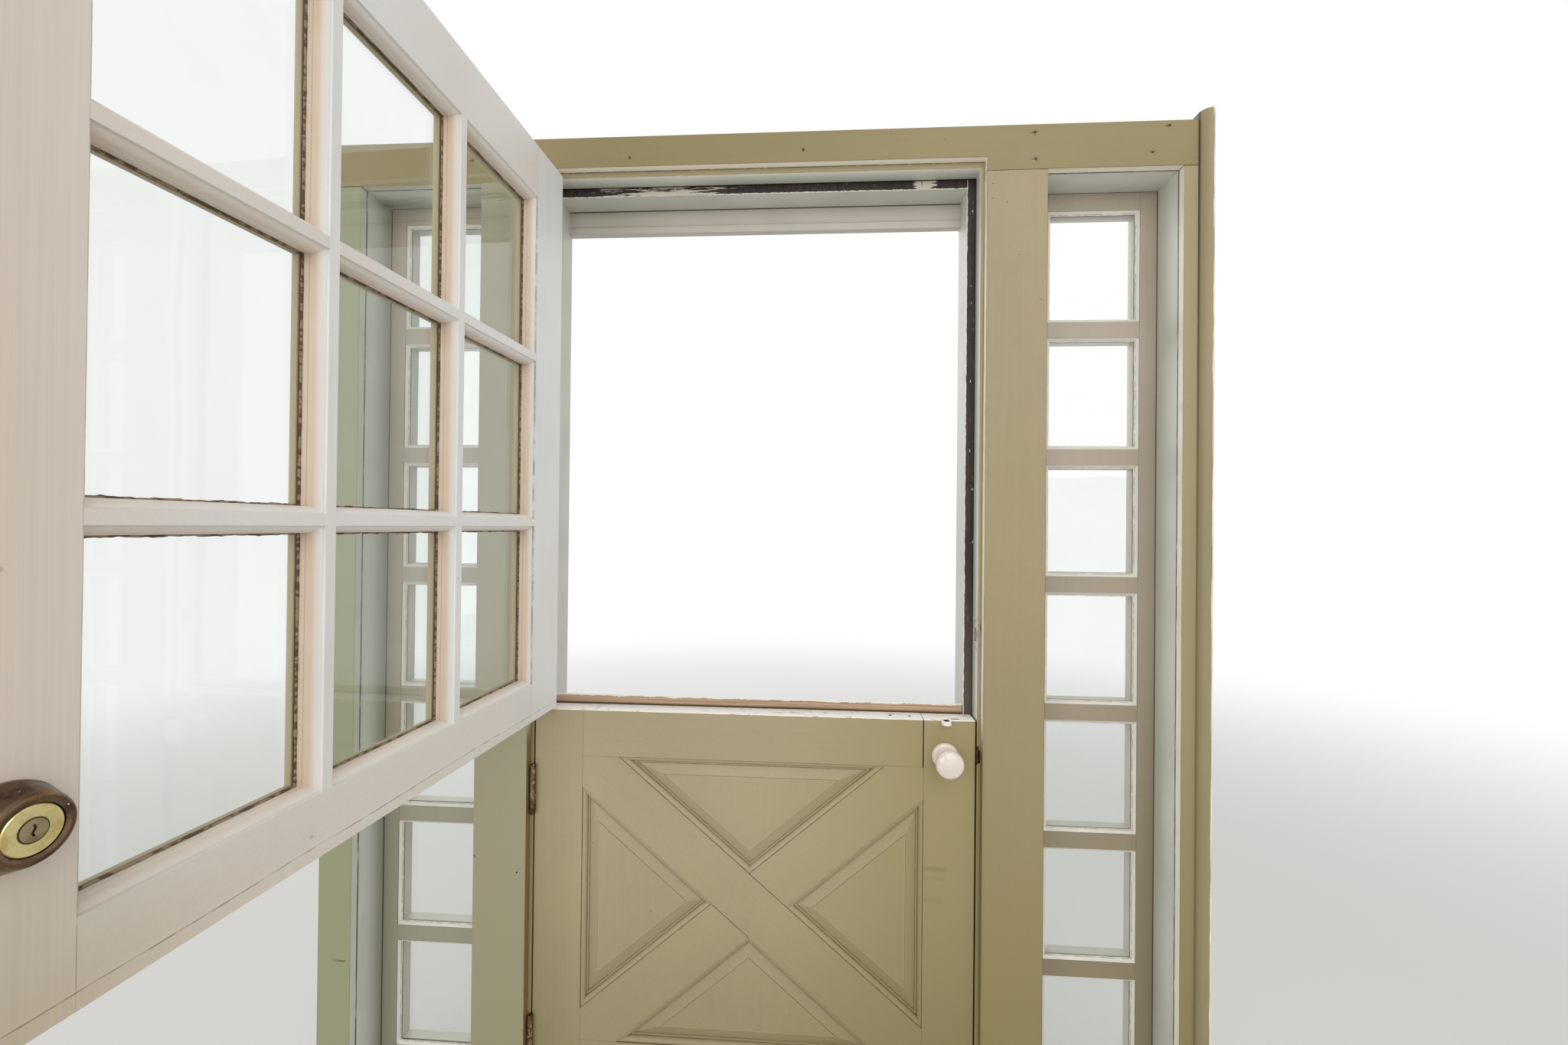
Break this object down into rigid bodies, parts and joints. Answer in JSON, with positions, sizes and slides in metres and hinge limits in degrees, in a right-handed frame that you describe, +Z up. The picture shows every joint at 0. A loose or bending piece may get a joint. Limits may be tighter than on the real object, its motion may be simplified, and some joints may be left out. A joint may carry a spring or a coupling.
{
  "type": "dutch stable door",
  "caption": "Stable door in two leaves with its timber frame: a glazed top leaf over a crossbuck lower leaf, a glazed sidelight on each side, hinges, latch and bolts.",
  "frame": {"origin": "on the floor under the sill, at the middle of the doorway, in the plane of the closed leaves' room faces", "axes": "+X to the right as seen from the room, +Y outdoors, +Z up"},
  "size_m": [1.8135, 1.0734, 2.163],
  "materials": {
    "olive_paint": "olive oil paint on wood, brushed, satin",
    "outdoor_paint": "off-white oil paint on wood, brushed, satin",
    "jamb_paint": "pale grey-green oil paint on wood",
    "stop_paint": "old dark brown paint with pale chipped paint on its edges",
    "sash_paint": "taupe oil paint on wood",
    "sill_paint": "worn grey deck paint on wood",
    "bare_timber": "sawn softwood, unpainted",
    "worn_lip": "bare weathered wood with ragged white paint along the top",
    "clear_glass": "clear window glass",
    "hinge_bronze": "aged bronze with paint on it",
    "collar_bronze": "brown bronze, worn, with specks of paint",
    "brass": "brushed brass",
    "bright_steel": "zinc-plated steel",
    "painted_plate": "steel under layers of white paint",
    "porcelain": "glazed white porcelain"
  },
  "bodies": {
    "frame": {"sill": "sill_paint", "door_jambs": "jamb_paint", "door_head_jamb": "jamb_paint", "mullion_posts": "bare_timber", "frame_head": "bare_timber", "side_stops": "stop_paint", "head_stop": "stop_paint", "outer_head_board": "jamb_paint", "sidelight_jambs": "jamb_paint", "sidelight_heads": "jamb_paint", "sidelight_seats": "sill_paint", "post_casing_left": "olive_paint", "post_casing_right": "olive_paint", "end_casing_left": "olive_paint", "end_casing_right": "olive_paint", "head_casing": "olive_paint", "corner_mould": "olive_paint", "deadbolt_strike": "painted_plate", "latch_strike": "painted_plate", "jamb_hinge_plates": "hinge_bronze", "hinge_pins": "hinge_bronze", "sash_stiles": "sash_paint", "sash_rails": "sash_paint", "sash_bars": "sash_paint", "sash_stops": "jamb_paint", "sash_panes": "clear_glass", "sash_beads": "jamb_paint"},
    "top_leaf": {"top_hinge_stile": "outdoor_paint", "top_lock_stile": "outdoor_paint", "top_rails": "outdoor_paint", "top_upright_bars": "outdoor_paint", "top_cross_bars": "outdoor_paint", "top_panes": "clear_glass", "top_beads": "olive_paint", "top_hinge_plates": "hinge_bronze", "deadbolt_case": "bright_steel", "deadbolt_collar": "collar_bronze", "deadbolt_cylinder": "brass", "turn_rose": "brass", "link_bolt_plate": "painted_plate"},
    "lower_leaf": {"lower_hinge_stile": "olive_paint", "lower_lock_stile": "olive_paint", "lower_rails": "olive_paint", "brace_long": "olive_paint", "braces_short": "olive_paint", "lower_panels": "olive_paint", "weather_lip": "worn_lip", "lower_hinge_plates": "hinge_bronze", "latch_case": "bright_steel", "knob_roses": "porcelain", "keeper_ring": "painted_plate"},
    "lower_knob": {"knobs": "porcelain", "knob_spindle": "bright_steel"},
    "latch_bolt": {"latch_bolt": "bright_steel"},
    "thumb_turn": {"thumb_turn": "brass"},
    "deadbolt_bolt": {"deadbolt_bolt": "bright_steel"},
    "key_plug": {"key_plug": "brass"},
    "link_bolt": {"link_bolt": "painted_plate"}
  },
  "joints": [
    {"name": "top_leaf_swing", "type": "hinge", "parent": "frame", "child": "top_leaf", "pos_m": [-0.4587, -0.0065, 1.5], "axis": [0, 0, 1], "range_deg": [-43.4, 91.6]},
    {"name": "lower_leaf_swing", "type": "hinge", "parent": "frame", "child": "lower_leaf", "pos_m": [-0.4587, -0.0065, 0.5], "axis": [0, 0, 1], "range_deg": [-91.6, 0]},
    {"name": "knob_turn", "type": "hinge", "parent": "lower_leaf", "child": "lower_knob", "pos_m": [0.3969, 0.02223, 0.882], "axis": [0, 1, 0], "range_deg": [0, 60]},
    {"name": "latch_slide", "type": "slide", "parent": "lower_leaf", "child": "latch_bolt", "axis": [1, 0, 0], "range_m": [0, 0.0116]},
    {"name": "thumb_turn_turn", "type": "hinge", "parent": "top_leaf", "child": "thumb_turn", "pos_m": [-0.45388, -0.86257, 1.126], "axis": [0.9996, -0.0279, 0], "range_deg": [0, 90.5]},
    {"name": "deadbolt_slide", "type": "slide", "parent": "top_leaf", "child": "deadbolt_bolt", "axis": [-0.0279, -0.9996, 0], "range_m": [0, 0.0254]},
    {"name": "key_plug_turn", "type": "hinge", "parent": "top_leaf", "child": "key_plug", "pos_m": [-0.45388, -0.86257, 1.126], "axis": [0.9996, -0.0279, 0], "range_deg": [0, 90.5]},
    {"name": "link_bolt_slide", "type": "slide", "parent": "top_leaf", "child": "link_bolt", "axis": [0, 0, -1], "range_m": [0, 0.02]}
  ],
  "couplings": [
    {"joint": "latch_slide", "follows": "knob_turn", "m_per_rad": 0.010982},
    {"joint": "thumb_turn_turn", "follows": "deadbolt_slide", "rad_per_m": 61.842},
    {"joint": "key_plug_turn", "follows": "deadbolt_slide", "rad_per_m": 61.842}
  ]
}
